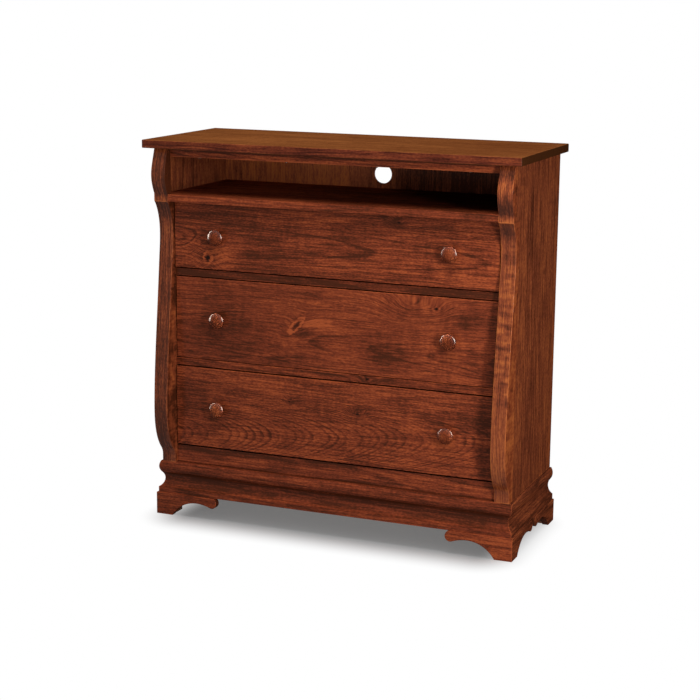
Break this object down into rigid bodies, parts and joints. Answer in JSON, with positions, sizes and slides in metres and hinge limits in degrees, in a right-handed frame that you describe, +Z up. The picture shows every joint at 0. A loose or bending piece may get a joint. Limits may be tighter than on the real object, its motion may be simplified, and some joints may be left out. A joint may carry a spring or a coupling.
{
  "type": "media chest",
  "caption": "Wooden media chest: overhanging top, open shelf bay with a cable hole, drawers with turned knobs between S-shaped posts, moulded base on bracket feet.",
  "frame": {"origin": "on the floor, under the middle of the top panel", "axes": "+X to the right seen from the front, -Y towards the front, +Z up"},
  "size_m": [1.149, 0.469, 1.143],
  "materials": {
    "stained_wood": "satin lacquer over a red-brown stain",
    "knob_wood": "satin lacquer over a darker stain",
    "frame_wood": "plain planed wood",
    "drawer_maple": "clear satin lacquer",
    "back_plywood": "stained veneer",
    "zinc_steel": "zinc plated"
  },
  "bodies": {
    "case": {"back_panel": "back_plywood", "base_back_rail": "frame_wood", "bottom_rail": "stained_wood", "case_bottom": "frame_wood", "case_screws": "zinc_steel", "foot_glue_blocks": "frame_wood", "front_base_moulding": "stained_wood", "left_base_moulding": "stained_wood", "left_foot_front_bracket": "stained_wood", "left_foot_side_bracket": "stained_wood", "left_front_post": "stained_wood", "left_rear_foot_bracket": "stained_wood", "left_scroll_bracket": "stained_wood", "left_side_panel": "stained_wood", "lower_drawer_rail": "stained_wood", "media_shelf": "stained_wood", "rear_foot_braces": "frame_wood", "right_base_moulding": "stained_wood", "right_foot_front_bracket": "stained_wood", "right_foot_side_bracket": "stained_wood", "right_front_post": "stained_wood", "right_rear_foot_bracket": "stained_wood", "right_scroll_bracket": "stained_wood", "right_side_panel": "stained_wood", "slide_case_channels": "zinc_steel", "slide_cleats": "frame_wood", "top_back_rail": "frame_wood", "top_front_rail": "stained_wood", "top_panel": "stained_wood", "upper_drawer_rail": "stained_wood"},
    "lower_drawer": {"lower_drawer_box_back": "drawer_maple", "lower_drawer_box_bottom": "drawer_maple", "lower_drawer_box_front": "drawer_maple", "lower_drawer_box_left_side": "drawer_maple", "lower_drawer_box_right_side": "drawer_maple", "lower_drawer_front": "stained_wood", "lower_drawer_knob_screws": "zinc_steel", "lower_drawer_knobs": "knob_wood", "lower_slide_drawer_channels": "zinc_steel"},
    "lower_slide": {"lower_slide_middle_channels": "zinc_steel"},
    "middle_drawer": {"middle_drawer_box_back": "drawer_maple", "middle_drawer_box_bottom": "drawer_maple", "middle_drawer_box_front": "drawer_maple", "middle_drawer_box_left_side": "drawer_maple", "middle_drawer_box_right_side": "drawer_maple", "middle_drawer_front": "stained_wood", "middle_drawer_knob_screws": "zinc_steel", "middle_drawer_knobs": "knob_wood", "middle_slide_drawer_channels": "zinc_steel"},
    "middle_slide": {"middle_slide_middle_channels": "zinc_steel"},
    "upper_drawer": {"upper_drawer_box_back": "drawer_maple", "upper_drawer_box_bottom": "drawer_maple", "upper_drawer_box_front": "drawer_maple", "upper_drawer_box_left_side": "drawer_maple", "upper_drawer_box_right_side": "drawer_maple", "upper_drawer_front": "stained_wood", "upper_drawer_knob_screws": "zinc_steel", "upper_drawer_knobs": "knob_wood", "upper_slide_drawer_channels": "zinc_steel"},
    "upper_slide": {"upper_slide_middle_channels": "zinc_steel"}
  },
  "joints": [
    {"name": "lower_drawer_travel", "type": "slide", "parent": "case", "child": "lower_drawer", "axis": [0, -1, 0], "range_m": [0, 0.34]},
    {"name": "lower_slide_travel", "type": "slide", "parent": "case", "child": "lower_slide", "axis": [0, -1, 0], "range_m": [0, 0.17]},
    {"name": "middle_drawer_travel", "type": "slide", "parent": "case", "child": "middle_drawer", "axis": [0, -1, 0], "range_m": [0, 0.34]},
    {"name": "middle_slide_travel", "type": "slide", "parent": "case", "child": "middle_slide", "axis": [0, -1, 0], "range_m": [0, 0.17]},
    {"name": "upper_drawer_travel", "type": "slide", "parent": "case", "child": "upper_drawer", "axis": [0, -1, 0], "range_m": [0, 0.34]},
    {"name": "upper_slide_travel", "type": "slide", "parent": "case", "child": "upper_slide", "axis": [0, -1, 0], "range_m": [0, 0.17]}
  ],
  "couplings": [
    {"joint": "lower_slide_travel", "follows": "lower_drawer_travel", "ratio": 0.5},
    {"joint": "middle_slide_travel", "follows": "middle_drawer_travel", "ratio": 0.5},
    {"joint": "upper_slide_travel", "follows": "upper_drawer_travel", "ratio": 0.5}
  ]
}
